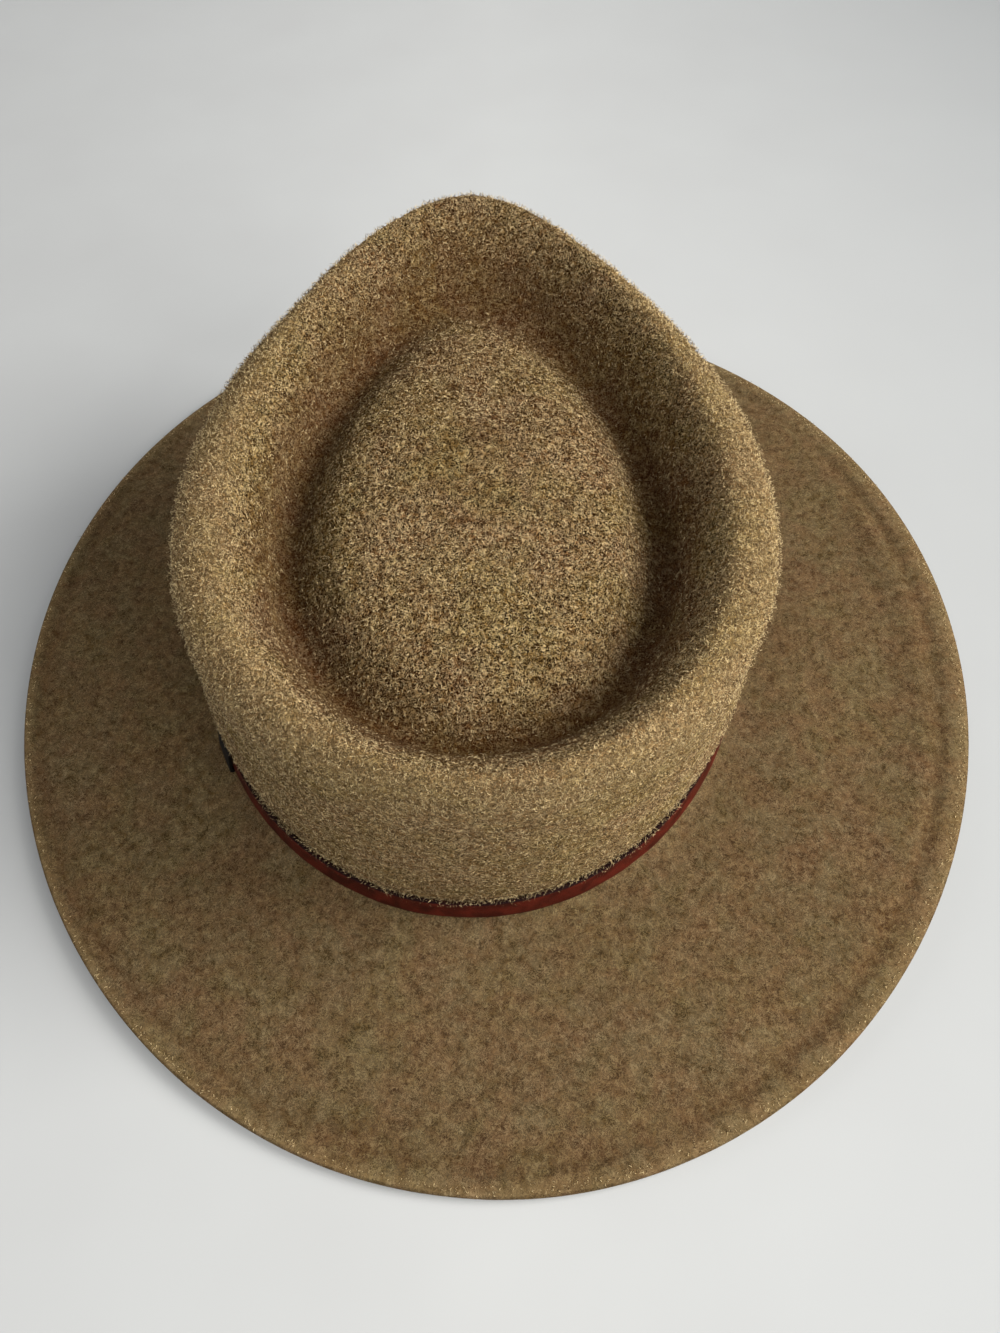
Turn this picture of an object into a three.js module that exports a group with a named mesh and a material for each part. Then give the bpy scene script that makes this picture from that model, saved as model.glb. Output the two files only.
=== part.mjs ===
// A wool felt outback hat: a teardrop crown and a wide oval brim blocked from one felt cone,
// with a slim leather strap round the foot of the crown and a small keeper folded over the strap.
// Millimetres. +Z is up, -Y is the front of the hat, +X is the wearer's left. The brim rests on z = 0.
import * as THREE from 'three';

// Driving sizes
const CROWN_LENGTH = 202;        // outside of the felt at the foot of the crown, front to back
const CROWN_WIDTH = 174.4;
const BRIM_LENGTH = 354;
const BRIM_WIDTH = 321;
const BRIM_TURN = 5.2;           // degrees that the brim's oval is turned under the crown
const CROWN_SIDE_SHIFT = 6.5;    // the crown stands this far to the wearer's left of the brim's middle
const CREST_HEIGHT = 110;        // where the lean and the twist are measured
const CROWN_LEAN = 2.7;          // at that height the crown leans this far to the wearer's right
const CROWN_TWIST = 2.2;         // degrees that the crown is turned there, above its foot
const TIP_SOFTNESS = 0.22;       // rounds the teardrop's tip

const FELT = 2.5;                // thickness of the felt
const LIP = 3.4;                 // thickness of the felt in the lip at the brim's edge
const LIP_WIDTH = 8;             // from the edge of the brim to the groove, front and back
const LIP_SKEW = 2;              // the lip is this much narrower on the left and wider on the right
const EDGE_ROUND = 1;            // how far the edge bulges past the lip's flat faces
const BRIM_ROOT = 8;             // height of the brim's upper face where it meets the crown
const LEFT_RISE = 4.2;           // how far the brim's sides stand above its front and back
const RIGHT_RISE = 10;
const REST_SHARE = 0.3;          // of the half width, over which the front and back lie flat
const RISE_POWER = 1.8;          // how gently the sides rise from there
const REST_GIVE = 0.3;           // felt lower than this is pressed flat by what it rests on

const STRAP_HEIGHT = 7.8;
const STRAP_THICKNESS = 1.5;
const STRAP_CHAMFER = 0.35;
const STRAP_TOP = 18.9;          // height of the strap's upper edge
const STRAP_LEAN = 9;            // degrees that the strap's foot stands out, over the felt's curve
const GAP = 0.3;                 // clearance between two pieces

const KEEPER_ANGLE = 118.5;      // degrees from the front, round the wearer's left
const KEEPER_LENGTH = 12;
const KEEPER_LEATHER = 1;
const KEEPER_STEPS = 5;

const SECTORS = 72;              // steps round the felt
const STRAP_SECTORS = 96;

// Rings of the crown, from the island in the middle of the dent out and down to the foot.
// front, back and half are reaches from the crown's axis, point is 0 for an oval and 1 for a sharp
// teardrop, then come the heights at front, sides and back, and the rings drawn on the way to the row.
const CROWN_ROWS = [
  { name: 'island_middle', front: 8, back: 28, half: 19, point: 0.2,
    zFront: 101, zSide: 99.8, zBack: 97.6, rings: 1 },
  { name: 'island_edge', front: 40, back: 68, half: 37, point: 0.5,
    zFront: 101, zSide: 95.5, zBack: 89, rings: 2 },
  { name: 'dent_groove', front: 58.5, back: 83.5, half: 51.5, point: 0.52,
    zFront: 98.5, zSide: 83.5, zBack: 79, rings: 2 },
  { name: 'dent_wall', front: 72.5, back: 91.5, half: 58.8, point: 0.6,
    zFront: 109.5, zSide: 96, zBack: 89.5, rings: 2 },
  { name: 'crest', front: 87.1, back: 99.6, half: 67, point: 0.63,
    zFront: 118.3, zSide: 107.3, zBack: 97.2, rings: 2 },
  { name: 'shoulder', front: 93.6, back: 102.6, half: 77.4, point: 0.72,
    zFront: 106.3, zSide: 103.9, zBack: 90.2, rings: 3 },
  { name: 'upper_wall', front: 98.4, back: 103.4, half: 82.6, point: 0.3,
    zFront: 82, zSide: 76.5, zBack: 66.8, rings: 2 },
  { name: 'lower_wall', front: 100.2, back: 102.8, half: 87.4, point: 0.12,
    zFront: 44.4, zSide: 41.6, zBack: 37, rings: 2 },
  { name: 'foot', front: CROWN_LENGTH / 2, back: CROWN_LENGTH / 2, half: CROWN_WIDTH / 2, point: 0,
    zFront: 16, zSide: 16, zBack: 16, rings: 2 },
];

// Rings of the brim, from the foot out to the edge. A ring lies at a share of the brim's width plus a
// shift in millimetres, or plus a share of the lip's width, and is lifted off the brim's plain slope.
const BRIM_ROWS = [
  { name: 'root_curve', share: 0, shift: 1.1, lip: 0, lift: 2.2, thickness: FELT, rings: 1 },
  { name: 'root', share: 0, shift: 4.5, lip: 0, lift: 0.1, thickness: FELT, rings: 2 },
  { name: 'brim_inner', share: 0.35, shift: 0, lip: 0, lift: 0, thickness: FELT, rings: 2 },
  { name: 'brim_outer', share: 0.7, shift: 0, lip: 0, lift: 0, thickness: FELT, rings: 2 },
  { name: 'groove_start', share: 1, shift: 0, lip: -1.45, lift: 0.1, thickness: FELT, rings: 1 },
  { name: 'groove', share: 1, shift: 0, lip: -1, lift: -0.9, thickness: 2, rings: 1 },
  { name: 'lip_inner', share: 1, shift: 0, lip: -0.65, lift: 0, thickness: LIP, rings: 1 },
  { name: 'lip_outer', share: 1, shift: -EDGE_ROUND, lip: 0, lift: 0, thickness: LIP, rings: 1 },
];

const radians = THREE.MathUtils.degToRad;
const angles = (count) => Array.from({ length: count }, (_, i) => (i / count) * 2 * Math.PI);

// How far a teardrop's flank is drawn in at an angle: none at the back, most at the tip.
function flank(angle, point) {
  const towardsBack = ((1 - Math.cos(angle)) / 2 + TIP_SOFTNESS) / (1 + TIP_SOFTNESS);
  return towardsBack ** (point / 2);
}

function widestFlank(point) {
  return Math.max(...angles(360).map((angle) => Math.sin(angle) * flank(angle, point)));
}

// A point of one of the crown's rings, leaned and twisted as far as its height asks.
function crownPoint(row, angle) {
  const x = row.half * Math.sin(angle) * flank(angle, row.point) / widestFlank(row.point);
  const y = (row.back - row.front) / 2 - (row.back + row.front) / 2 * Math.cos(angle);
  const tilt = (row.zFront - row.zBack) / 2;
  const saddle = ((row.zFront + row.zBack) / 2 - row.zSide) / 2;
  const z = row.zSide + saddle + tilt * Math.cos(angle) + saddle * Math.cos(2 * angle);
  const height = z / CREST_HEIGHT;
  return new THREE.Vector3(x - CROWN_LEAN * height, y, z)
    .applyAxisAngle(new THREE.Vector3(0, 0, 1), radians(CROWN_TWIST * height))
    .add(new THREE.Vector3(CROWN_SIDE_SHIFT, 0, 0));
}

const foot = CROWN_ROWS.at(-1);

// The middle of the brim's edge: a turned oval whose sides rise off the surface that it rests on.
function edgePoint(angle) {
  const sideways = Math.sin(angle);
  const beyondRest = Math.max(0, (Math.abs(sideways) - REST_SHARE) / (1 - REST_SHARE));
  const rise = (sideways > 0 ? LEFT_RISE : RIGHT_RISE) * beyondRest ** RISE_POWER;
  return new THREE.Vector3(
    BRIM_WIDTH / 2 * sideways, -BRIM_LENGTH / 2 * Math.cos(angle), LIP / 2 + rise,
  ).applyAxisAngle(new THREE.Vector3(0, 0, 1), radians(BRIM_TURN));
}

function brimPoint(row, angle) {
  const start = crownPoint(foot, angle);
  const end = edgePoint(angle);
  const width = Math.hypot(end.x - start.x, end.y - start.y);
  const lipWidth = LIP_WIDTH - LIP_SKEW * Math.sin(angle);
  const point = start.clone().lerp(end, row.share + (row.shift + row.lip * lipWidth) / width);
  point.z = BRIM_ROOT + (end.z + LIP / 2 - BRIM_ROOT) * row.share + row.lift;
  return point;
}

// The upper face of the felt along one angle: its points and the felt's thickness at each.
function feltProfile(angle) {
  const rows = [...CROWN_ROWS, ...BRIM_ROWS];
  const corners = [
    ...CROWN_ROWS.map((row) => crownPoint(row, angle)),
    ...BRIM_ROWS.map((row) => brimPoint(row, angle)),
  ];
  const curve = new THREE.CatmullRomCurve3(corners, false, 'centripetal');
  const points = [];
  const thicknesses = [];
  rows.forEach((row, index) => {
    const before = rows[Math.max(index - 1, 0)];
    for (let ring = 1; ring <= row.rings; ring += 1) {
      const share = ring / row.rings;
      points.push(curve.getPoint((index - 1 + share) / (rows.length - 1)));
      thicknesses.push(THREE.MathUtils.lerp(before.thickness ?? FELT, row.thickness ?? FELT, share));
    }
  });
  return { points, thicknesses };
}

// A mesh from its points and its triangles, each triangle as three indices.
function meshOf(name, points, triangles, material) {
  const geometry = new THREE.BufferGeometry().setFromPoints(points);
  geometry.setIndex(triangles);
  geometry.computeVertexNormals();
  const mesh = new THREE.Mesh(geometry, material);
  mesh.name = name;
  return mesh;
}

// Triangles between ring after ring of points that lie one ring after another, all the way round.
function skin(ringCount, sectors) {
  const triangles = [];
  for (let ring = 0; ring < ringCount - 1; ring += 1) {
    for (let sector = 0; sector < sectors; sector += 1) {
      const next = (sector + 1) % sectors;
      const a = ring * sectors + sector;
      const b = ring * sectors + next;
      triangles.push(a, a + sectors, b, b, a + sectors, b + sectors);
    }
  }
  return triangles;
}

// Crown and brim as one closed skin: over the top from the island to the edge, and back below.
function feltBody() {
  const profiles = angles(SECTORS).map(feltProfile);
  const ringCount = profiles[0].points.length;
  const at = (ring, sector) => profiles[(sector + SECTORS) % SECTORS].points[ring];

  const under = (ring, sector) => {
    const outer = at(Math.min(ring + 1, ringCount - 1), sector);
    const inner = at(Math.max(ring - 1, 0), sector);
    const outwards = outer.clone().sub(inner);
    const round = at(ring, sector + 1).clone().sub(at(ring, sector - 1));
    const normal = outwards.cross(round).normalize();
    const point = at(ring, sector).clone().addScaledVector(normal, -profiles[sector].thicknesses[ring]);
    point.z = point.z < REST_GIVE ? 0 : point.z;
    return point;
  };

  const rings = [];
  for (let ring = 0; ring < ringCount; ring += 1) {
    rings.push(profiles.map((profile) => profile.points[ring]));
  }
  rings.push(angles(SECTORS).map(edgePoint));
  for (let ring = ringCount - 1; ring >= 0; ring -= 1) {
    rings.push(profiles.map((_, sector) => under(ring, sector)));
  }

  const points = rings.flat();
  const triangles = skin(rings.length, SECTORS);
  const middleOf = (ring) => (
    ring.reduce((sum, point) => sum.add(point), new THREE.Vector3()).divideScalar(ring.length)
  );
  const top = points.push(middleOf(rings[0])) - 1;
  const bottom = points.push(middleOf(rings.at(-1))) - 1;
  const lastRing = (rings.length - 1) * SECTORS;
  for (let sector = 0; sector < SECTORS; sector += 1) {
    const next = (sector + 1) % SECTORS;
    triangles.push(top, sector, next);
    triangles.push(bottom, lastRing + next, lastRing + sector);
  }
  const felt = new THREE.MeshStandardMaterial({ color: 0x7a6044, roughness: 0.95, metalness: 0 });
  return meshOf('felt_body', points, triangles, felt);
}

// A place on the leaning strap at an angle: out from its inner face and down from its upper edge.
function strapPoint(angle, out, down) {
  const lean = radians(STRAP_LEAN);
  const offset = GAP + out * Math.cos(lean) + down * Math.sin(lean);
  const a = CROWN_LENGTH / 2;
  const b = CROWN_WIDTH / 2;
  const outwards = new THREE.Vector3(Math.sin(angle) / b, -Math.cos(angle) / a, 0).normalize();
  const point = crownPoint(foot, angle).addScaledVector(outwards, offset);
  point.z = STRAP_TOP - down * Math.cos(lean) + out * Math.sin(lean);
  return point;
}

// The strap: a flat leather band with softened corners, closed all the way round.
function leatherBand() {
  const c = STRAP_CHAMFER;
  const t = STRAP_THICKNESS;
  const h = STRAP_HEIGHT;
  const section = [[0, h - c], [0, c], [c, 0], [t - c, 0], [t, c], [t, h - c], [t - c, h], [c, h]];
  const points = section.flatMap(([out, down]) => (
    angles(STRAP_SECTORS).map((angle) => strapPoint(angle, out, down))
  ));
  const last = (section.length - 1) * STRAP_SECTORS;
  const triangles = skin(section.length, STRAP_SECTORS);
  for (let sector = 0; sector < STRAP_SECTORS; sector += 1) {
    const next = (sector + 1) % STRAP_SECTORS;
    triangles.push(last + sector, sector, last + next, last + next, sector, next);
  }
  const leather = new THREE.MeshStandardMaterial({ color: 0x5a1f14, roughness: 0.6, metalness: 0 });
  return meshOf('leather_band', points, triangles, leather);
}

// The keeper: a short channel of black leather folded over the strap's face and both its edges.
function bandKeeper() {
  const k = KEEPER_LEATHER;
  const c = k / 2;
  const far = STRAP_THICKNESS + GAP;
  const low = STRAP_HEIGHT + GAP;
  const section = [
    [GAP, -GAP], [GAP, -GAP - k], [far + k - c, -GAP - k], [far + k, -GAP - k + c],
    [far + k, low + k - c], [far + k - c, low + k], [GAP, low + k], [GAP, low], [far, low], [far, -GAP],
  ];
  const reach = KEEPER_LENGTH / CROWN_LENGTH;
  const points = [];
  for (let step = 0; step <= KEEPER_STEPS; step += 1) {
    const angle = radians(KEEPER_ANGLE) + reach * (2 * step / KEEPER_STEPS - 1);
    section.forEach(([out, down]) => points.push(strapPoint(angle, out, down)));
  }
  const count = section.length;
  const triangles = [];
  for (let step = 0; step < KEEPER_STEPS; step += 1) {
    for (let corner = 0; corner < count; corner += 1) {
      const a = step * count + corner;
      const b = step * count + (corner + 1) % count;
      triangles.push(a, b, a + count, b, b + count, a + count);
    }
  }
  const contour = section.map(([out, down]) => new THREE.Vector2(out, down));
  const last = KEEPER_STEPS * count;
  THREE.ShapeUtils.triangulateShape(contour, []).forEach(([p, q, r]) => {
    triangles.push(p, r, q, last + p, last + q, last + r);
  });
  const leather = new THREE.MeshStandardMaterial({ color: 0x14110f, roughness: 0.5, metalness: 0 });
  return meshOf('band_keeper', points, triangles, leather);
}

const hat = new THREE.Group();
hat.add(feltBody(), leatherBand(), bandKeeper());

export default hat;
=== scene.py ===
# %% [markdown]
# # An outback hat of wool felt
# The real hat is blocked from one felt cone: a teardrop crown, a wide oval brim and a pressed lip.
# A slim leather strap lies round the foot of the crown, with a small keeper folded over it.
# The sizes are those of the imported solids. This script makes finer meshes of the same shapes and gives
# them their finish.

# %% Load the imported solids
import math

import bpy
import numpy as np
from mathutils import Matrix, Vector, noise


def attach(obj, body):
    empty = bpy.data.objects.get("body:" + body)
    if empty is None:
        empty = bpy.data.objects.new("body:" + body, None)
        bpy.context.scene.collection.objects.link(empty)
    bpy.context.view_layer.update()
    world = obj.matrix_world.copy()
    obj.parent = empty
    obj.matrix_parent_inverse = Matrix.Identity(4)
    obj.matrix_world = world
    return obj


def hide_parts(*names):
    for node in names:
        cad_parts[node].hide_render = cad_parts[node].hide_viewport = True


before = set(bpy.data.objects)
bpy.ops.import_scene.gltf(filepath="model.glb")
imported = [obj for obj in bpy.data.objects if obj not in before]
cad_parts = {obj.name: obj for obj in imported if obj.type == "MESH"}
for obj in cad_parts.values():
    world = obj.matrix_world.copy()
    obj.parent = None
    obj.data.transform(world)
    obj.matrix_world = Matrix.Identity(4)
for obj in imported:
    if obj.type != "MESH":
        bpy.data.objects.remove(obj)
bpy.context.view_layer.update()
print("solids:", sorted(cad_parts))

# %% [markdown]
# ## Camera
# The photo was taken from behind the hat and well above it, close up and with a wide lens.
# Matching the outlines of brim, strap and crown gave where the lens was and how long it was. A camera
# has to be exact here, because from this close the crown's tip looks half as large again as the brim.

# %% Camera
MM = 0.001
PICTURE_WIDTH = 1000            # pixels
FOCAL_PIXELS = 998.34
SENSOR_WIDTH = 36               # millimetres
ELEVATION = math.radians(57.8)
AZIMUTH = math.radians(180.07)  # from the front, so half a turn looks from behind
ROLL = math.radians(-0.24)
DISTANCE = 328.53               # millimetres from the aim
AIM = Vector((6.5, 0, 36.8))
ASIDE = -9.53                   # how far the view is slid off the aim, to the side and up
ABOVE = 27.22

backwards = Vector((
    math.sin(AZIMUTH) * math.cos(ELEVATION),
    -math.cos(AZIMUTH) * math.cos(ELEVATION),
    math.sin(ELEVATION),
))
level_right = (-backwards).cross(Vector((0, 0, 1))).normalized()
level_up = level_right.cross(-backwards)
view_right = level_right * math.cos(ROLL) + level_up * math.sin(ROLL)
view_up = level_up * math.cos(ROLL) - level_right * math.sin(ROLL)

camera_data = bpy.data.cameras.new("photo_camera")
camera_data.sensor_fit = "HORIZONTAL"
camera_data.sensor_width = SENSOR_WIDTH
camera_data.lens = SENSOR_WIDTH * FOCAL_PIXELS / PICTURE_WIDTH
camera = bpy.data.objects.new("photo_camera", camera_data)
pose = Matrix((view_right, view_up, backwards)).transposed().to_4x4()
pose.translation = (backwards * DISTANCE - view_right * ASIDE - view_up * ABOVE + AIM) * MM
camera.matrix_world = pose
bpy.context.collection.objects.link(camera)
bpy.context.scene.camera = camera
bpy.context.scene.view_settings.view_transform = "Standard"
print("camera at", [round(c, 3) for c in pose.translation], "lens", round(camera_data.lens, 2), "mm")

# %% [markdown]
# ## Helpers for materials
# Colours are written as sRGB hex values, as a colour picker shows them, and Blender wants them linear.
# One small function adds a node, sets it and links it, so that a material reads as a list of nodes.

# %% Colour and node helpers
MIX_A, MIX_B, MIX_RESULT = 6, 7, 2   # the colour sockets of a Mix node


def linear(hex_colour):
    """An sRGB hex colour as linear red, green, blue and alpha."""
    parts = [int(hex_colour[i:i + 2], 16) / 255 for i in (1, 3, 5)]
    return [c / 12.92 if c <= 0.04045 else ((c + 0.055) / 1.055) ** 2.4 for c in parts] + [1]


def add_node(tree, kind, inputs, output=0, **settings):
    """Adds a node and gives one of its outputs. Inputs that are sockets are linked, others are set."""
    node = tree.nodes.new("ShaderNode" + kind)
    for name, value in settings.items():
        setattr(node, name, value)
    for key, value in inputs.items():
        if isinstance(value, bpy.types.NodeSocket):
            tree.links.new(value, node.inputs[key])
        else:
            node.inputs[key].default_value = value
    return node.outputs[output] if len(node.outputs) else None


def new_material(name):
    """An empty material, its node tree, and the place in the hat's own frame in millimetres."""
    material = bpy.data.materials.new(name)
    material.use_nodes = True
    tree = material.node_tree
    tree.nodes.clear()
    metres = add_node(tree, "TexCoord", {}, "Object")
    return material, tree, add_node(tree, "VectorMath", {0: metres, "Scale": 1 / MM}, operation="SCALE")


# %% [markdown]
# ## Floor and light
# A pale matt floor gives a plain ground. Shading tells where the light came from: the outside of the
# crown is brightest at the picture's right, the right inner wall of the dent lies in shade, and the crease
# is dark all round. So the main light comes from the side, a window at the picture's right and its near
# corner, with weak light from over the viewer's shoulder and back from the room. The strengths come from a
# fit: the hat was drawn under one lamp at a time, and the mix nearest the photo was kept. The floor's paint
# darkens towards the window as painted shade, which offsets the window's light, so that the ground looks
# as even as in the photo.

# %% Floor
FLOOR_HALF = 2.5                # metres
MOTTLE_SIZE = 50                # millimetres between paler and darker paint
PAINTED_SHADE_SIDE = -400                # how far towards the window the paint is at its greyest
floor_mesh = bpy.data.meshes.new("floor")
floor_mesh.from_pydata(
    [(-FLOOR_HALF, -FLOOR_HALF, 0), (FLOOR_HALF, -FLOOR_HALF, 0),
     (FLOOR_HALF, FLOOR_HALF, 0), (-FLOOR_HALF, FLOOR_HALF, 0)],
    [], [(0, 1, 2, 3)],
)
floor = bpy.data.objects.new("floor", floor_mesh)
bpy.context.collection.objects.link(floor)

floor_paint, tree, place = new_material("matt_backdrop_paint")
mottle = add_node(tree, "TexNoise", {"Vector": place, "Scale": 1 / MOTTLE_SIZE, "Detail": 2})
tint = add_node(tree, "Mix", {
    "Factor": mottle, MIX_A: linear("#c9ced3"), MIX_B: linear("#cfd5da"),
}, MIX_RESULT, data_type="RGBA")
# Painted shade: the paint darkens to grey towards the window, on the picture's right, to offset the window's
# light on the floor.
across = add_node(tree, "SeparateXYZ", {0: place}, "X")
away_from_window = add_node(tree, "MapRange", {"Value": across, "From Min": PAINTED_SHADE_SIDE, "From Max": 0})
tint = add_node(tree, "Mix", {
    "Factor": away_from_window, MIX_A: linear("#969ca2"), MIX_B: tint,
}, MIX_RESULT, data_type="RGBA")
add_node(tree, "OutputMaterial", {"Surface": add_node(tree, "BsdfPrincipled", {
    "Base Color": tint, "Roughness": 0.9, "Specular IOR Level": 0.2,
})})
floor_mesh.materials.append(floor_paint)
print("floor:", FLOOR_HALF * 2, "metres square, in", floor_paint.name)

# %% Soft light
SKY_STRENGTH = 0.06
world = bpy.data.worlds.new("soft_studio")
bpy.context.scene.world = world
world.use_nodes = True
sky = world.node_tree.nodes["Background"]
sky.inputs["Color"].default_value = linear("#f5f3f0")
sky.inputs["Strength"].default_value = SKY_STRENGTH

HAT = Vector((0, 0, 0.05))      # where the lamps aim, in metres
# name: place and size in metres, watts, colour
PANELS = {
    "window_right": ((-1.06, 0, 0.8), 0.7, 20, "#fff8ee"),
    "window_near_right": ((-0.8, 0.8, 0.7), 0.7, 9.2, "#fff8ee"),
    "over_the_shoulder": ((0, 0.63, 1.18), 0.7, 3.8, "#fffcf8"),
    "room_beyond": ((0, -1.22, 0.49), 0.8, 3.3, "#fffcf8"),
    "room_left": ((1.22, 0, 0.49), 1.0, 4.6, "#fff9f2"),
}
for name, (spot, size, watts, colour) in PANELS.items():
    panel_data = bpy.data.lights.new(name, "AREA")
    panel_data.size = size
    panel_data.energy = watts
    panel_data.color = linear(colour)[:3]
    panel = bpy.data.objects.new(name, panel_data)
    panel.location = spot
    panel.rotation_euler = (HAT - Vector(spot)).to_track_quat("-Z", "Y").to_euler()
    panel.visible_camera = False
    bpy.context.collection.objects.link(panel)
print("lights:", ", ".join(PANELS), "and an even sky of strength", SKY_STRENGTH)

# %% [markdown]
# ## The shape of the felt
# A blocked hat is smooth in both directions, so its shape is a set of rings with a smooth curve through
# them. The rings here are those of the solid, from the island in the middle of the dent, out over the
# crest and down to the foot, and on over the brim to the edge. A teardrop is an ellipse whose flanks are
# drawn in towards the front. Subdividing the solid would also smooth it, but it would shrink the crease
# and the groove, so the curves are drawn again with more steps.

# %% Sizes of the felt in millimetres
CROWN_LENGTH = 202
CROWN_WIDTH = 174.4
BRIM_LENGTH = 354
BRIM_WIDTH = 321
BRIM_TURN = math.radians(5.2)
CROWN_SIDE_SHIFT = 6.5          # towards the wearer's left
CROWN_LEAN = 2.7                # towards the wearer's right, at the height of the crest
CROWN_TWIST = math.radians(2.2)
CREST_HEIGHT = 110              # where the lean and the twist are measured
TIP_SOFTNESS = 0.22             # keeps the teardrop's tip from closing to a point
FELT = 2.5                      # thickness
LIP = 3.4                       # thickness at the edge of the brim
LIP_WIDTH = 8
LIP_SKEW = 2                    # how much narrower the lip is at the wearer's left
EDGE_ROUND = 1
BRIM_ROOT = 8                   # height of the brim where it meets the crown
LEFT_RISE = 4.2                 # how far each side of the brim lifts off the surface below
RIGHT_RISE = 10
REST_SHARE = 0.3                # the part of the half width that lies on that surface
RISE_POWER = 1.8
REST_GIVE = 0.3                 # what ends lower than this is pressed flat on the surface

# Reach to the front, back and side, how pointed, height at front, side and back, rings on the way
CROWN_ROWS = {
    "island_middle": (8, 28, 19, 0.2, 101, 99.8, 97.6, 1),
    "island_edge": (40, 68, 37, 0.5, 101, 95.5, 89, 9),
    "dent_groove": (58.5, 83.5, 51.5, 0.52, 98.5, 83.5, 79, 9),
    "dent_wall": (72.5, 91.5, 58.8, 0.6, 109.5, 96, 89.5, 9),
    "crest": (87.1, 99.6, 67, 0.63, 118.3, 107.3, 97.2, 9),
    "shoulder": (93.6, 102.6, 77.4, 0.72, 106.3, 103.9, 90.2, 9),
    "upper_wall": (98.4, 103.4, 82.6, 0.30, 82, 76.5, 66.8, 12),
    "lower_wall": (100.2, 102.8, 87.4, 0.12, 44.4, 41.6, 37, 14),
    "foot": (CROWN_LENGTH / 2, CROWN_LENGTH / 2, CROWN_WIDTH / 2, 0, 16, 16, 16, 11),
}
# Share of the brim's width, shift in millimetres, share of the lip, lift, thickness, rings on the way
BRIM_ROWS = {
    "root_curve": (0, 1.1, 0, 2.2, FELT, 7),
    "root": (0, 4.5, 0, 0.1, FELT, 5),
    "brim_inner": (0.35, 0, 0, 0, FELT, 10),
    "brim_outer": (0.7, 0, 0, 0, FELT, 11),
    "groove_start": (1, 0, -1.45, 0.1, FELT, 8),
    "groove": (1, 0, -1, -0.6, 2.2, 5),
    "lip_inner": (1, 0, -0.65, 0, LIP, 4),
    "lip_outer": (1, -EDGE_ROUND, 0, 0, LIP, 4),
}


# %% Rings of the crown and the brim
def turned(points, angle):
    """Points turned about the upright axis, each by its own angle if there are many."""
    x, y, z = points.T
    return np.stack([x * np.cos(angle) - y * np.sin(angle), x * np.sin(angle) + y * np.cos(angle), z], 1)


def flank(angle, point):
    """How far a teardrop's flank is drawn in: none at the back, most at the tip."""
    return (((1 - np.cos(angle)) / 2 + TIP_SOFTNESS) / (1 + TIP_SOFTNESS)) ** (point / 2)


def crown_ring(row, angle):
    """One ring of the crown at these angles, a teardrop that rises and falls as its row says."""
    front, back, half, point, z_front, z_side, z_back, _ = row
    whole_turn = np.linspace(0, 2 * math.pi, 361)
    widest = (np.sin(whole_turn) * flank(whole_turn, point)).max()
    x = half * np.sin(angle) * flank(angle, point) / widest
    y = (back - front) / 2 - (back + front) / 2 * np.cos(angle)
    tilt = (z_front - z_back) / 2
    saddle = ((z_front + z_back) / 2 - z_side) / 2
    z = z_side + saddle + tilt * np.cos(angle) + saddle * np.cos(2 * angle)
    height = z / CREST_HEIGHT
    ring = turned(np.stack([x - CROWN_LEAN * height, y, z], 1), CROWN_TWIST * height)
    return ring + [CROWN_SIDE_SHIFT, 0, 0]


def edge_ring(angle):
    """The middle of the brim's edge: a turned oval whose sides rise off the surface below."""
    sideways = np.sin(angle)
    beyond = np.maximum(0, (abs(sideways) - REST_SHARE) / (1 - REST_SHARE))
    rise = np.where(sideways > 0, LEFT_RISE, RIGHT_RISE) * beyond ** RISE_POWER
    x = BRIM_WIDTH / 2 * sideways
    y = -BRIM_LENGTH / 2 * np.cos(angle)
    return turned(np.stack([x, y, LIP / 2 + rise], 1), BRIM_TURN)


def brim_ring(row, angle):
    """One ring of the brim at these angles, on the way from the crown's foot to the edge."""
    share, shift, lip, lift, _, _ = row
    start = crown_ring(CROWN_ROWS["foot"], angle)
    end = edge_ring(angle)
    width = np.hypot(*(end - start)[:, :2].T)
    lip_width = LIP_WIDTH - LIP_SKEW * np.sin(angle)
    ring = start + (end - start) * (share + (shift + lip * lip_width) / width)[:, None]
    ring[:, 2] = BRIM_ROOT + (end[:, 2] + LIP / 2 - BRIM_ROOT) * share + lift
    return ring


# %% A smooth curve through the rings
def curve_between(before, start, end, after, share):
    """A centripetal Catmull-Rom curve from start to end, which no row of rings can make loop."""
    first, middle, last = [
        np.sqrt(np.linalg.norm(b - a, axis=1))[:, None]
        for a, b in ((before, start), (start, end), (end, after))
    ]
    leave = (start - before) / first - (end - before) / (first + middle) + (end - start) / middle
    arrive = (end - start) / middle - (after - start) / (middle + last) + (after - end) / last
    leave, arrive = leave * middle, arrive * middle
    return (
        start + leave * share
        + (3 * (end - start) - 2 * leave - arrive) * share ** 2
        + (2 * (start - end) + leave + arrive) * share ** 3
    )


def felt_rings(angle):
    """The felt's upper face as rings of points, and the felt's thickness at each ring."""
    corners = [crown_ring(row, angle) for row in CROWN_ROWS.values()]
    corners += [brim_ring(row, angle) for row in BRIM_ROWS.values()]
    thicknesses = [FELT] * len(CROWN_ROWS) + [row[4] for row in BRIM_ROWS.values()]
    steps = [row[-1] for row in CROWN_ROWS.values()] + [row[-1] for row in BRIM_ROWS.values()]
    ends = [2 * corners[0] - corners[1]] + corners + [2 * corners[-1] - corners[-2]]
    rings, walls = [corners[0]], [FELT]
    for i in range(1, len(corners)):
        for step in range(1, steps[i] + 1):
            share = step / steps[i]
            rings.append(curve_between(ends[i - 1], ends[i], ends[i + 1], ends[i + 2], share))
            walls.append(thicknesses[i - 1] + (thicknesses[i] - thicknesses[i - 1]) * share)
    return np.array(rings), np.array(walls)


SECTORS = 350
angle = np.arange(SECTORS) / SECTORS * 2 * math.pi
upper, walls = felt_rings(angle)
print("upper face:", len(upper), "rings of", SECTORS, "points")

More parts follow.
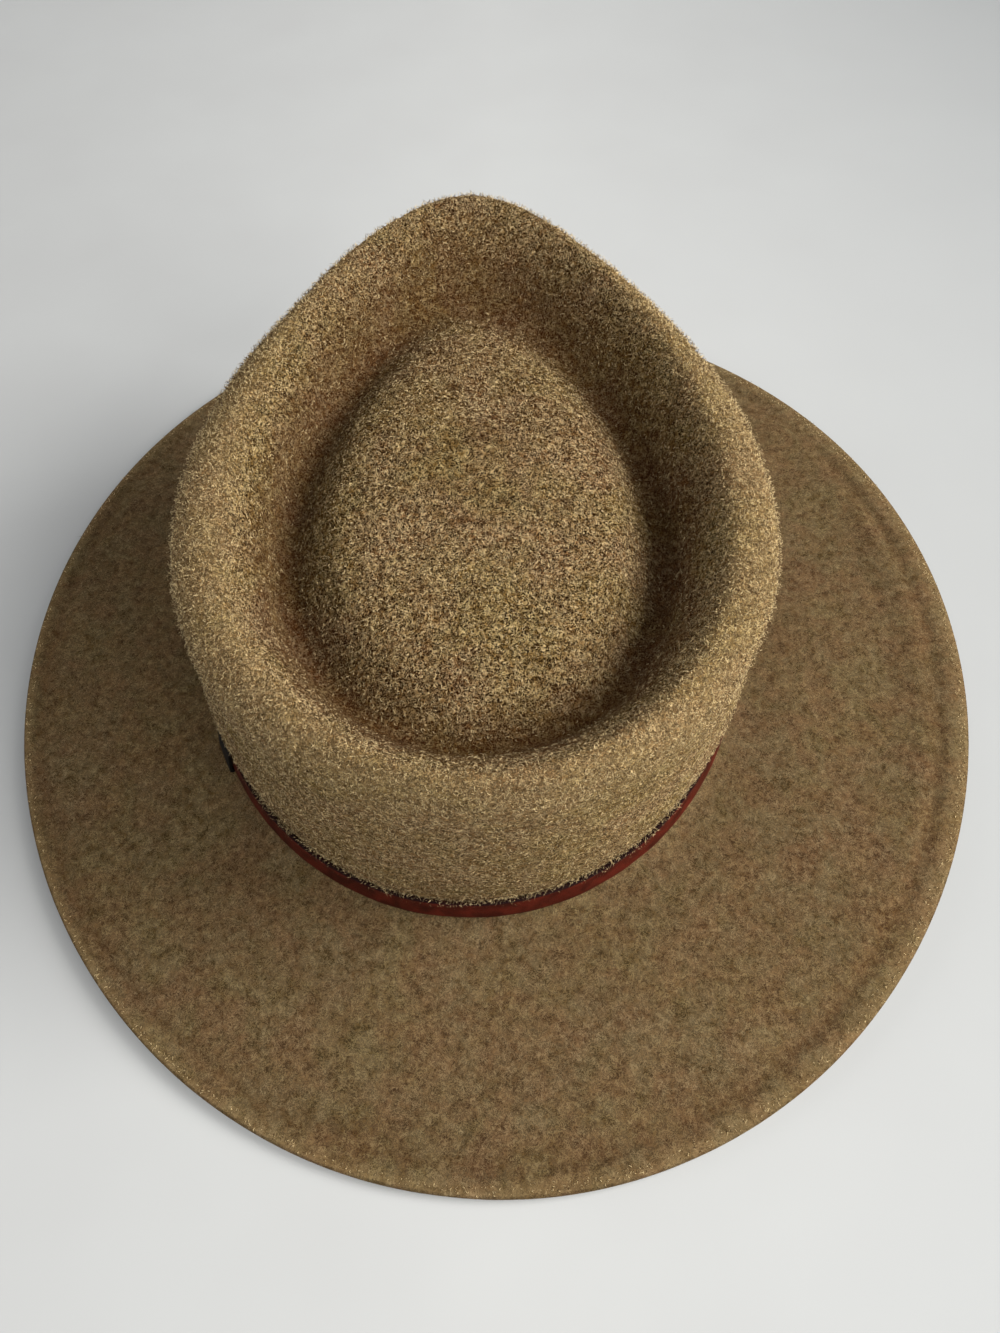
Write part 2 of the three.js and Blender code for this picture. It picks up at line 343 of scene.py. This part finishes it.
# %% [markdown]
# ## Unevenness of the felt
# Steam and hands leave a blocked felt slightly wavy, and the fibres mat into soft lumps a few
# millimetres across. Both are moves of the mesh along its normal, much less than the felt is thick.


# %% Normals and lumps
def ring_normals(rings):
    """Outward normals of a skin of rings, from the steps along and across them."""
    across = np.gradient(rings, axis=0)
    along = np.roll(rings, -1, 1) - np.roll(rings, 1, 1)
    normals = np.cross(across, along)
    return normals / np.linalg.norm(normals, axis=2)[:, :, None]


def lumps(points, size, depth):
    """Smooth noise for each point: size is the distance between lumps, depth their height."""
    flat = points.reshape(-1, 3) / size
    heights = [noise.noise(Vector(p)) for p in flat]
    return depth * np.array(heights).reshape(points.shape[:-1] + (1,))


WAVE_SIZE, WAVE_DEPTH = 34, 0.7     # millimetres
MAT_SIZE, MAT_DEPTH = 4.5, 0.16
QUIET_RINGS = 8                     # the waves fade out over the last rings, so that the edge runs even
quiet_edge = np.linspace(len(upper), 0, len(upper)).clip(0, QUIET_RINGS)[:, None, None] / QUIET_RINGS
normals = ring_normals(upper)
uneven = lumps(upper, WAVE_SIZE, WAVE_DEPTH) + lumps(upper, MAT_SIZE, MAT_DEPTH)
skin_top = upper + normals * uneven * quiet_edge
skin_under = skin_top - ring_normals(skin_top) * walls[:, None, None]
skin_under[:, :, 2] = np.where(skin_under[:, :, 2] < REST_GIVE, 0, skin_under[:, :, 2])
print("unevenness of the felt:", round(float(abs(uneven).max()), 2), "mm at most")

# %% [markdown]
# ## The felt as one closed skin
# The skin runs over the top to the edge of the brim, round the cut edge, and back below. The two small
# holes in the middle of the dent, above and below, are closed with a fan of triangles.

# %% Felt mesh
EDGE_STEPS = 7
EDGE_BLUNTNESS = 0.6            # 1 rounds the edge as half a circle does, and less makes it blunter


def mesh_object(name, points, faces, material, body="root"):
    """A smooth mesh object from points in millimetres, riding on a body of the frame."""
    mesh = bpy.data.meshes.new(name)
    mesh.from_pydata((np.asarray(points) * MM).tolist(), [], faces)
    mesh.validate()
    mesh.shade_smooth()
    mesh.materials.append(material)
    made = bpy.data.objects.new(name, mesh)
    bpy.context.collection.objects.link(made)
    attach(made, body)
    return made


def skin_faces(ring_count, sectors):
    """Four-sided faces between ring after ring, all the way round."""
    ring, sector = np.meshgrid(np.arange(ring_count - 1), np.arange(sectors), indexing="ij")
    after = (sector + 1) % sectors
    low, high = ring * sectors, (ring + 1) * sectors
    return np.stack([low + sector, high + sector, high + after, low + after], 2).reshape(-1, 4).tolist()


edge = edge_ring(angle)
outwards = edge - skin_top[-1]
outwards[:, 2] = 0
outwards /= np.linalg.norm(outwards, axis=1)[:, None]
edge_rings = []
for step in range(1, EDGE_STEPS):
    turn = math.pi * step / EDGE_STEPS
    share = (1 + math.cos(turn)) / 2
    middle = skin_top[-1] * share + skin_under[-1] * (1 - share)
    edge_rings.append(middle + outwards * EDGE_ROUND * math.sin(turn) ** EDGE_BLUNTNESS)

rings = np.concatenate([skin_top, edge_rings, skin_under[::-1]])
felt_points = rings.reshape(-1, 3).tolist()
felt_faces = skin_faces(len(rings), SECTORS)
top_middle, under_middle = len(felt_points), len(felt_points) + 1
felt_points += [rings[0].mean(0).tolist(), rings[-1].mean(0).tolist()]
last_ring = (len(rings) - 1) * SECTORS
for sector in range(SECTORS):
    after = (sector + 1) % SECTORS
    felt_faces.append((top_middle, sector, after))
    felt_faces.append((under_middle, last_ring + after, last_ring + sector))
print("felt:", len(felt_points), "points,", len(felt_faces), "faces")

# %% [markdown]
# ## Wool felt
# Wool felt is a mat of crimped fibres, laid in every direction and shrunk together with steam. This one is
# heathered: dark brown, red-brown, olive and beige fibres were carded together before felting. It gives the
# eye no gloss at all, a salt-and-pepper grain of curled pale fibres over dark pits, and soft patches a few
# millimetres across where one colour gathers. A fibre is 0.03 mm thick, too fine to show, so it is drawn
# about 0.2 mm thick. The lines where a warped noise crosses one value curl as crimped fibres do.
# The crest and the edge of the brim are painted paler, as painted highlight, and the groove of the dent,
# its inner wall and a ring inside the lip are painted a deeper red-brown, as painted shade, most of all
# at the sides and the back of the dent, where it is deepest. The front of the dent gets less of both and
# a little more painted shade. The brim was pressed and sanded smoother than the crown, so its grain is
# softer.

# %% Colours of wool
PATCH_SIZE = 3.4                # millimetres between patches of one colour
CLOUD_SIZE = 22                 # between broad clouds of russet and olive
PIT_SIZE = 0.62                 # between the dark pits
CURL_SPACINGS = (2.1, 1.6, 1.2)  # between the curls of each layer of fibres
CURL_WIDTH = 0.046              # how far the noise may be from its middle value on a curl, by spacing
BRIM_TOP, CROWN_START = 15, 20  # heights in millimetres between which the grain changes
BRIM_GRAIN = 0.16               # how much of the crown's grain the sanded brim keeps
PIT_SHADE = 0.85                # how dark the deepest pits are
# How far the painted shade and the painted highlight take the felt's colour:
PAINTED_SHADE_SHARE, PAINTED_HIGHLIGHT_SHARE = 0.66, 0.3   # how far wear takes the colour, deep or pale
FELT_RELIEF = 0.0003            # metres from a pit to the top of a curl

wool_felt, tree, place = new_material("heathered_wool_felt")


def wool_patches(tree, place, spacing, first, second):
    """Two colours of wool that gather in soft patches."""
    gather = add_node(tree, "TexNoise", {
        "Vector": place, "Scale": 1 / spacing, "Detail": 3, "Roughness": 0.6, "Distortion": 0.6,
    })
    share = add_node(tree, "MapRange", {"Value": gather, "From Min": 0.38, "From Max": 0.62})
    return add_node(tree, "Mix", {"Factor": share, MIX_A: first, MIX_B: second},
                    MIX_RESULT, data_type="RGBA")


deep_olive = wool_patches(tree, place, PATCH_SIZE, linear("#291c08"), linear("#4d391a"))
deep_russet = wool_patches(tree, place, PATCH_SIZE * 0.8, linear("#2f1708"), linear("#523018"))
under_wool = wool_patches(tree, place, CLOUD_SIZE, deep_olive, deep_russet)
olive_curls = wool_patches(tree, place, PATCH_SIZE * 0.7, linear("#a8864c"), linear("#edd498"))
beige_curls = wool_patches(tree, place, PATCH_SIZE * 0.6, linear("#ab8254"), linear("#f0d3a2"))
curl_wool = wool_patches(tree, place, CLOUD_SIZE, olive_curls, beige_curls)
soft_olive = wool_patches(tree, place, PATCH_SIZE, linear("#403521"), linear("#645841"))
soft_russet = wool_patches(tree, place, PATCH_SIZE * 0.8, linear("#423121"), linear("#66523b"))
sanded_wool = wool_patches(tree, place, CLOUD_SIZE * 0.6, soft_olive, soft_russet)

# %% Pits and curls
depth = add_node(tree, "TexNoise", {
    "Vector": place, "Scale": 1 / PIT_SIZE, "Detail": 2, "Roughness": 0.7, "Distortion": 1,
})
fibre_height = add_node(tree, "MapRange", {"Value": depth, "From Min": 0.42, "From Max": 0.57})
pit = add_node(tree, "MapRange", {"Value": fibre_height, "To Min": PIT_SHADE, "To Max": 0})
colour = add_node(tree, "Mix", {"Factor": pit, MIX_A: under_wool, MIX_B: linear("#160c05")},
                  MIX_RESULT, data_type="RGBA")
for spacing in CURL_SPACINGS:
    waves = add_node(tree, "TexNoise", {
        "Vector": place, "Scale": 1 / spacing, "Detail": 1, "Distortion": 1.5,
    })
    away = add_node(tree, "Math", {0: waves, 1: 0.5}, operation="SUBTRACT")
    away = add_node(tree, "Math", {0: away}, operation="ABSOLUTE")
    curl = add_node(tree, "MapRange", {
        "Value": away, "From Min": CURL_WIDTH / spacing, "From Max": CURL_WIDTH / spacing * 0.7,
    })
    fibre_height = add_node(tree, "Math", {0: fibre_height, 1: curl}, operation="ADD")
    colour = add_node(tree, "Mix", {"Factor": curl, MIX_A: colour, MIX_B: curl_wool},
                      MIX_RESULT, data_type="RGBA")
height = add_node(tree, "SeparateXYZ", {0: place}, "Z")
nap = add_node(tree, "MapRange", {
    "Value": height, "From Min": BRIM_TOP, "From Max": CROWN_START, "To Min": BRIM_GRAIN, "To Max": 1,
})
colour = add_node(tree, "Mix", {"Factor": nap, MIX_A: sanded_wool, MIX_B: colour},
                  MIX_RESULT, data_type="RGBA")

# %% Painted light and shade, and surface of the felt
painted_shading = add_node(tree, "Attribute", {}, "Fac", attribute_name="painted_shading")
# Painted shade: where the painted brightness is below half, the colour is mixed towards a dark red-brown.
painted_shade = add_node(tree, "MapRange", {"Value": painted_shading, "From Max": 0.5, "To Min": PAINTED_SHADE_SHARE, "To Max": 0})
colour = add_node(tree, "Mix", {"Factor": painted_shade, MIX_A: colour, MIX_B: linear("#4c280d")},
                  MIX_RESULT, data_type="RGBA")
# Painted highlight: where it is above half, the colour is mixed towards a pale tan.
painted_highlight = add_node(tree, "MapRange", {"Value": painted_shading, "From Min": 0.5, "To Max": PAINTED_HIGHLIGHT_SHARE})
colour = add_node(tree, "Mix", {"Factor": painted_highlight, MIX_A: colour, MIX_B: linear("#cfb27e")},
                  MIX_RESULT, data_type="RGBA")
relief = add_node(tree, "Bump", {"Height": fibre_height, "Distance": FELT_RELIEF, "Strength": nap})
add_node(tree, "OutputMaterial", {"Surface": add_node(tree, "BsdfPrincipled", {
    "Base Color": colour, "Roughness": 0.95, "Specular IOR Level": 0.06, "IOR": 1.5,
    "Sheen Weight": 0.06, "Sheen Roughness": 0.5, "Sheen Tint": linear("#d8b888"),
    "Normal": relief,
})})
print("wool felt:", len(tree.nodes), "nodes")

# %% The felt's piece
felt = mesh_object("felt_hat", felt_points, felt_faces, wool_felt)
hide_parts("felt_body")

# %% Painted highlight and shade on the felt
# The front of the dent gets less painted highlight and painted shade, by the first share below, and inside
# the crest a little more painted shade, by the second.
FRONT_LESS_PAINTED = 0.4                # how much less the front is rubbed
FRONT_PAINTED_SHADE = 0.14            # how much browner the dent is at its front

ROW_RINGS = np.cumsum([0] + [row[-1] for row in list(CROWN_ROWS.values())[1:]])
ISLAND, GROOVE, WALL, CREST, SHOULDER = ROW_RINGS[1:6]
FOOT = ROW_RINGS[-1]
ring_number = np.arange(len(skin_top))
EDGE = ring_number[-1]
# ring: its painted brightness, from 0 for the deepest painted shade, past 0.5 for the felt's own colour, to
# 1 for the palest painted highlight
PAINTED_BRIGHTNESS_BY_RING = {
    0: 0.55, ISLAND + 3: 0.44, GROOVE - 1: 0.05, GROOVE + 2: 0.04, WALL: 0.2, CREST: 0.9,
    SHOULDER: 1, SHOULDER + 8: 0.65, FOOT: 0.6, FOOT + 9: 0.5,
    EDGE - 16: 0.5, EDGE - 8: 0.38, EDGE - 4: 0.5, EDGE: 0.7,
}
painted_brightness = np.interp(ring_number, list(PAINTED_BRIGHTNESS_BY_RING), list(PAINTED_BRIGHTNESS_BY_RING.values()))
frontness = np.cos(angle).clip(0)
inside_crest = (ring_number < CREST)[:, None]
painted_brightness_top = 0.5 + (painted_brightness[:, None] - 0.5) * (1 - FRONT_LESS_PAINTED * frontness)
painted_brightness_top -= FRONT_PAINTED_SHADE * frontness * inside_crest
painted_brightness_below = np.full(len(felt_points) - painted_brightness_top.size, 0.5)
every_point = np.append(painted_brightness_top, painted_brightness_below)
felt.data.attributes.new("painted_shading", "FLOAT", "POINT").data.foreach_set("value", every_point)
# The range printed is that of the painted brightness, from the painted shade in the groove to the painted
# highlight on the crest.
print("felt rubbed from", painted_brightness.min(), "in the groove to", painted_brightness.max(), "on the crest")

# %% [markdown]
# ## The strap
# A strip of vegetable-tanned leather, dyed red-brown through, with bevelled and burnished edges. It is cut
# straight and pulled round the crown, so it leans out at its foot where the felt curves into the brim.

# %% Strap shape
STRAP_HEIGHT = 7.8              # millimetres
STRAP_THICKNESS = 1.5
STRAP_TOP = 18.9                # the height of its upper edge
STRAP_LEAN = math.radians(9)
STRAP_CORNER = 0.45
GAP = 0.3                       # between strap and felt, and between keeper and strap
STRAP_SECTORS = 480
SECTION_STEPS = (19, 6, 19, 6)  # points on the inner face, the upper edge, the outer face and the foot
CREASE_SIZE, CREASE_DEPTH = 9, 0.09   # millimetres between creases, and the share that they change it by


def strap_points(angle, out, down):
    """Places on the leaning strap: out from its inner face and down from its upper edge."""
    offset = GAP + out * math.cos(STRAP_LEAN) + down * math.sin(STRAP_LEAN)
    outwards = np.stack([
        np.sin(angle) * 2 / CROWN_WIDTH, -np.cos(angle) * 2 / CROWN_LENGTH, np.zeros_like(angle),
    ], 1)
    outwards /= np.linalg.norm(outwards, axis=1)[:, None]
    points = crown_ring(CROWN_ROWS["foot"], angle) + outwards * np.reshape(offset, (-1, 1))
    points[:, 2] = STRAP_TOP - down * math.cos(STRAP_LEAN) + out * math.sin(STRAP_LEAN)
    return points


def rounded_section(low, high, corner, steps):
    """A rectangle with rounded corners, as pairs of out and down, from its lower inner corner up."""
    (near, top), (far, bottom) = low, high
    corners = np.array([(near, bottom), (near, top), (far, top), (far, bottom), (near, bottom)])
    outline = np.concatenate([
        np.linspace(start, end, count, endpoint=False)
        for start, end, count in zip(corners, corners[1:], steps)
    ])
    core = np.clip(outline, [near + corner, top + corner], [far - corner, bottom - corner])
    away = outline - core
    return core + corner * away / np.linalg.norm(away, axis=1)[:, None]


section = rounded_section((0, 0), (STRAP_THICKNESS, STRAP_HEIGHT), STRAP_CORNER, SECTION_STEPS)
round_strap = np.arange(STRAP_SECTORS) / STRAP_SECTORS * 2 * math.pi
strap_rings = np.array([strap_points(round_strap, out, down) for out, down in section])
strap_middle = strap_points(round_strap, STRAP_THICKNESS / 2, STRAP_HEIGHT / 2)
creases = 1 + lumps(np.repeat(strap_middle[None], len(section), 0), CREASE_SIZE, CREASE_DEPTH)
strap_rings = strap_middle + (strap_rings - strap_middle) * creases
strap_faces = skin_faces(len(section), STRAP_SECTORS)
last_row = (len(section) - 1) * STRAP_SECTORS
for sector in range(STRAP_SECTORS):
    after = (sector + 1) % STRAP_SECTORS
    strap_faces.append((last_row + sector, sector, after, last_row + after))
print("strap:", len(strap_faces), "faces")

# %% [markdown]
# ## Strap leather
# Aniline-dyed leather keeps its grain: fine pebbles under half a millimetre across, with a satin shine
# where it was rubbed. The dye is darker along the cut edges, where leather drinks more of it. The grain
# is drawn about 0.6 mm wide, as fine as the picture can show.

# %% Strap material
BLOTCH_SIZE = 5                 # millimetres between darker and paler dye
STRAP_GRAIN = 0.6               # between the pebbles of the grain
STRAP_FOOT = STRAP_TOP - STRAP_HEIGHT
UPPER_DARK = (STRAP_TOP - 0.35, STRAP_TOP + 0.05)    # heights between which the dye darkens to an edge
LOWER_DARK = (STRAP_FOOT + 0.9, STRAP_FOOT + 0.4)

dyed_leather, tree, place = new_material("aniline_dyed_strap_leather")
blotches = add_node(tree, "TexNoise", {
    "Vector": place, "Scale": 1 / BLOTCH_SIZE, "Detail": 3, "Distortion": 0.5,
})
blotches = add_node(tree, "MapRange", {"Value": blotches, "From Min": 0.35, "From Max": 0.65})
dye = add_node(tree, "Mix", {
    "Factor": blotches, MIX_A: linear("#360904"), MIX_B: linear("#581a10"),
}, MIX_RESULT, data_type="RGBA")
cells = add_node(tree, "TexVoronoi", {"Vector": place, "Scale": 1 / STRAP_GRAIN}, feature="DISTANCE_TO_EDGE")
grain = add_node(tree, "MapRange", {"Value": cells, "From Max": 0.25})
height = add_node(tree, "SeparateXYZ", {0: place}, "Z")
upper_edge, lower_edge = [
    add_node(tree, "MapRange", {"Value": height, "From Min": pale_at, "From Max": dark_at})
    for pale_at, dark_at in (UPPER_DARK, LOWER_DARK)
]
cut_edges = add_node(tree, "Math", {0: upper_edge, 1: lower_edge}, operation="MAXIMUM")
dye = add_node(tree, "Mix", {"Factor": cut_edges, MIX_A: dye, MIX_B: linear("#1c0504")},
               MIX_RESULT, data_type="RGBA")
dullness = add_node(tree, "MapRange", {"Value": cut_edges, "To Min": 0.5, "To Max": 0.85})
relief = add_node(tree, "Bump", {"Height": grain, "Distance": 0.00008, "Strength": 0.5})
add_node(tree, "OutputMaterial", {"Surface": add_node(tree, "BsdfPrincipled", {
    "Base Color": dye, "Roughness": dullness, "IOR": 1.5, "Specular IOR Level": 0.2,
    "Normal": relief,
})})
strap = mesh_object("leather_strap", strap_rings.reshape(-1, 3), strap_faces, dyed_leather)
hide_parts("leather_band")
print("strap leather:", len(tree.nodes), "nodes, on", strap.name)

# %% [markdown]
# ## The keeper
# A short loop of thin black leather holds the strap's end. Only the part that shows is built: a channel
# over the face and both edges of the strap, with rounded folds. A small bevel softens its cut ends.

# %% Keeper shape
KEEPER_ANGLE = math.radians(118.5)    # from the front, round by the wearer's left
KEEPER_LENGTH = 12              # millimetres along the strap
KEEPER_LEATHER = 1              # thickness
KEEPER_STEPS = 24
FOLD_STEPS = 8

far, low = STRAP_THICKNESS + GAP, STRAP_HEIGHT + GAP
channel = [(GAP, -GAP), (GAP, -GAP - KEEPER_LEATHER)]
for fold_down, first_turn in ((-GAP, -90), (low, 0)):
    for step in range(FOLD_STEPS + 1):
        turn = math.radians(first_turn + 90 * step / FOLD_STEPS)
        channel.append((far + KEEPER_LEATHER * math.cos(turn), fold_down + KEEPER_LEATHER * math.sin(turn)))
channel += [(GAP, low + KEEPER_LEATHER), (GAP, low), (far, low), (far, -GAP)]
reach = KEEPER_LENGTH / CROWN_LENGTH   # half its length, as an angle at the crown's foot
keeper_angles = KEEPER_ANGLE + np.linspace(-reach, reach, KEEPER_STEPS + 1)
keeper_points = np.stack([strap_points(keeper_angles, out, down) for out, down in channel], 1)
count = len(channel)
keeper_faces = []
for step in range(KEEPER_STEPS):
    for corner in range(count):
        following = (corner + 1) % count
        start, end = step * count, (step + 1) * count
        keeper_faces.append((start + corner, start + following, end + following, end + corner))
keeper_faces.append(tuple(range(count))[::-1])
keeper_faces.append(tuple(KEEPER_STEPS * count + corner for corner in range(count)))

# %% [markdown]
# ## Keeper leather
# Bridle leather is dyed black all through and waxed. Hands and dust take the wax off, so it gives the eye
# a dull black with soft, barely browner spots and hardly a shine. Its pores are too fine to show, and are
# drawn half a millimetre apart.

# %% Keeper material
RUBBED_SIZE = 2.5               # millimetres between rubbed spots
PORE_SIZE = 0.5                 # between pores
KEEPER_BEVEL = 0.25             # how much its cut ends are softened

black_leather, tree, place = new_material("black_bridle_leather")
rubbed_spots = add_node(tree, "TexNoise", {"Vector": place, "Scale": 1 / RUBBED_SIZE, "Detail": 3})
rubbed_spots = add_node(tree, "MapRange", {"Value": rubbed_spots, "From Min": 0.35, "From Max": 0.7})
black = add_node(tree, "Mix", {
    "Factor": rubbed_spots, MIX_A: linear("#0c0a09"), MIX_B: linear("#181310"),
}, MIX_RESULT, data_type="RGBA")
pores = add_node(tree, "TexNoise", {"Vector": place, "Scale": 1 / PORE_SIZE})
relief = add_node(tree, "Bump", {"Height": pores, "Distance": 0.00006, "Strength": 0.5})
add_node(tree, "OutputMaterial", {"Surface": add_node(tree, "BsdfPrincipled", {
    "Base Color": black, "Roughness": 0.75, "IOR": 1.5, "Specular IOR Level": 0.2, "Normal": relief,
})})
keeper = mesh_object("strap_keeper", keeper_points.reshape(-1, 3), keeper_faces, black_leather)
softened = keeper.modifiers.new("softened_ends", "BEVEL")
softened.width = KEEPER_BEVEL * MM
softened.segments = 3
softened.limit_method = "ANGLE"
softened.angle_limit = math.radians(50)
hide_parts("band_keeper")
print("keeper:", len(keeper_faces), "faces before its bevel")

# %% [markdown]
# ## Loose fibres
# Felt is never shaved quite smooth: curled ends of wool stand off it and make its outline soft. Blender's
# hair would do for the picture, but it leaves nothing in a mesh. So each fibre is a thin three-sided spike
# that starts inside the felt, curls as it rises, and closes in a point. Real ones are 0.03 mm thick, and
# these are drawn 0.19 mm thick, about the finest that shows.

# %% Fibre shapes
FIBRE_WIDTH = 0.19
FIBRE_POINTS = 3                # places along a fibre, and the last of them is its tip
CURL_RANGE = (0.35, 1.6)        # the radius of a fibre's curl, in half lengths of the fibre
LIFT_CURVE = 0.7                # less than 1: a fibre rises fast at first, and then lies over
CLEAR_OF_FELT = 0.1             # a fibre starts this deep in the felt, and then lies this far above it


def places_on_skin(rings, weights, count, random):
    """Random places on a skin of rings, as dense on each ring as its weight asks, and their normals."""
    across = rings[1:] - rings[:-1]
    along = (np.roll(rings, -1, 1) - rings)[:-1]
    share = np.linalg.norm(np.cross(across, along), axis=2) * np.asarray(weights)[:-1, None]
    cell = random.choice(share.size, count, p=share.ravel() / share.sum())
    ring, sector = np.divmod(cell, rings.shape[1])
    shift = random.random((2, count, 1))
    place = rings[ring, sector] + across[ring, sector] * shift[0] + along[ring, sector] * shift[1]
    return place, ring_normals(rings)[ring, sector]


def fibre_mesh(name, place, normal, length, rise, random):
    """Curled spikes: each leaves the felt, turns on an arc of its own, and rises as it goes."""
    count = len(place)
    aside = np.cross(normal, random.normal(size=(count, 3)))
    ahead = aside / np.linalg.norm(aside, axis=1)[:, None]
    beside = np.cross(normal, ahead)
    along = np.linspace(0, 1, FIBRE_POINTS)
    run = length[:, None] * along
    radius = (random.uniform(*CURL_RANGE, count) * length / 2)[:, None]
    turn = run / radius
    lift = rise[:, None] * along ** LIFT_CURVE + CLEAR_OF_FELT
    lift[:, 0] = -CLEAR_OF_FELT
    way = [radius * np.sin(turn), radius * (1 - np.cos(turn)), lift]
    axes = (ahead, beside, normal)
    path = place[:, None] + sum(part[:, :, None] * axis[:, None] for part, axis in zip(way, axes))
    sideways = -np.sin(turn)[:, :, None] * ahead[:, None] + np.cos(turn)[:, :, None] * beside[:, None]
    half_width = FIBRE_WIDTH / 2 * (1 - along / 2)[:, None]
    corners = []
    for turned_by in (0, math.tau / 3, 2 * math.tau / 3):
        out = math.cos(turned_by) * sideways[:, :-1] + math.sin(turned_by) * normal[:, None]
        corners.append(path[:, :-1] + half_width[:-1] * out)
    tube = np.stack(corners, 2).reshape(count, -1, 3)
    points = np.concatenate([tube, path[:, -1:]], 1)
    tip = 3 * (FIBRE_POINTS - 1)
    faces = [(2, 1, 0)]
    for low in range(0, tip - 3, 3):
        faces += [(low + side, low + (side + 1) % 3, low + 3 + (side + 1) % 3) for side in range(3)]
        faces += [(low + side, low + 3 + (side + 1) % 3, low + 3 + side) for side in range(3)]
    faces += [(tip - 3 + side, tip - 3 + (side + 1) % 3, tip) for side in range(3)]
    first = np.arange(count)[:, None, None] * (tip + 1)
    all_faces = (first + np.array(faces)).reshape(-1, 3)
    return mesh_object(name, points.reshape(-1, 3), all_faces.tolist(), loose_wool)


# %% [markdown]
# ## Loose wool
# The same wool as the felt, seen as single fibres, from brown through tan to a pale cream. Wool is dyed
# before it is mixed, so neighbours differ. A noise whose lumps lie about as far apart as the fibres do
# gives each one a colour of its own.

# %% Fibre material
FIBRE_SPACING = 0.9             # millimetres between fibres of different wool

loose_wool, tree, place = new_material("loose_wool_fibres")
fibre_kinds = add_node(tree, "TexNoise", {"Vector": place, "Scale": 1 / FIBRE_SPACING, "Detail": 1})
fibre_kinds = add_node(tree, "MapRange", {"Value": fibre_kinds, "From Min": 0.42, "From Max": 0.58})
wool = add_node(tree, "Mix", {
    "Factor": fibre_kinds, MIX_A: linear("#553a20"), MIX_B: linear("#f6dfac"),
}, MIX_RESULT, data_type="RGBA")
add_node(tree, "OutputMaterial", {"Surface": add_node(tree, "BsdfPrincipled", {
    "Base Color": wool, "Roughness": 0.7, "IOR": 1.55, "Specular IOR Level": 0.15,
})})
print("loose wool:", len(tree.nodes), "nodes")

# %% Fibres on each part of the hat
CREST_START, CREST_END = CREST - 3, CREST + 12    # the rings that the rolled crest takes up
RISE_SPREAD = 1.5               # more than 1: most fibres lie close, and few stand out

on_top = ring_number < CREST_START
on_crest = (ring_number >= CREST_START) & (ring_number < CREST_END)
on_wall = (ring_number >= CREST_END) & (ring_number < FOOT - 4)
over_strap = (ring_number >= FOOT - 3) & (ring_number < FOOT - 1)
near_edge = ring_number > EDGE - 3

# name: where, how many, shortest and longest in millimetres, most that they rise
NAPS = {
    # The crown's top takes fibres in step with its painted brightness, so that few pale fibres lie on the
    # painted shade of the groove.
    "crown_top_fibres": (on_top * painted_brightness, 19000, 0.9, 2.4, 0.4),
    "crown_crest_fibres": (on_crest, 19000, 0.7, 2.2, 1.5),
    "crown_wall_fibres": (on_wall, 19000, 0.9, 2.4, 0.7),
    "fibres_over_strap": (over_strap, 7000, 1.2, 2.8, 2.4),
    "brim_edge_fibres": (near_edge, 2200, 0.6, 1.6, 0.9),
}
random = np.random.default_rng(4)
for name, (weights, count, shortest, longest, most_rise) in NAPS.items():
    spot, normal = places_on_skin(skin_top, weights, count, random)
    length = random.uniform(shortest, longest, count)
    rise = most_rise * random.random(count) ** RISE_SPREAD
    tufts = fibre_mesh(name, spot, normal, length, rise, random)
    print(name, count, "fibres,", len(tufts.data.polygons), "triangles")
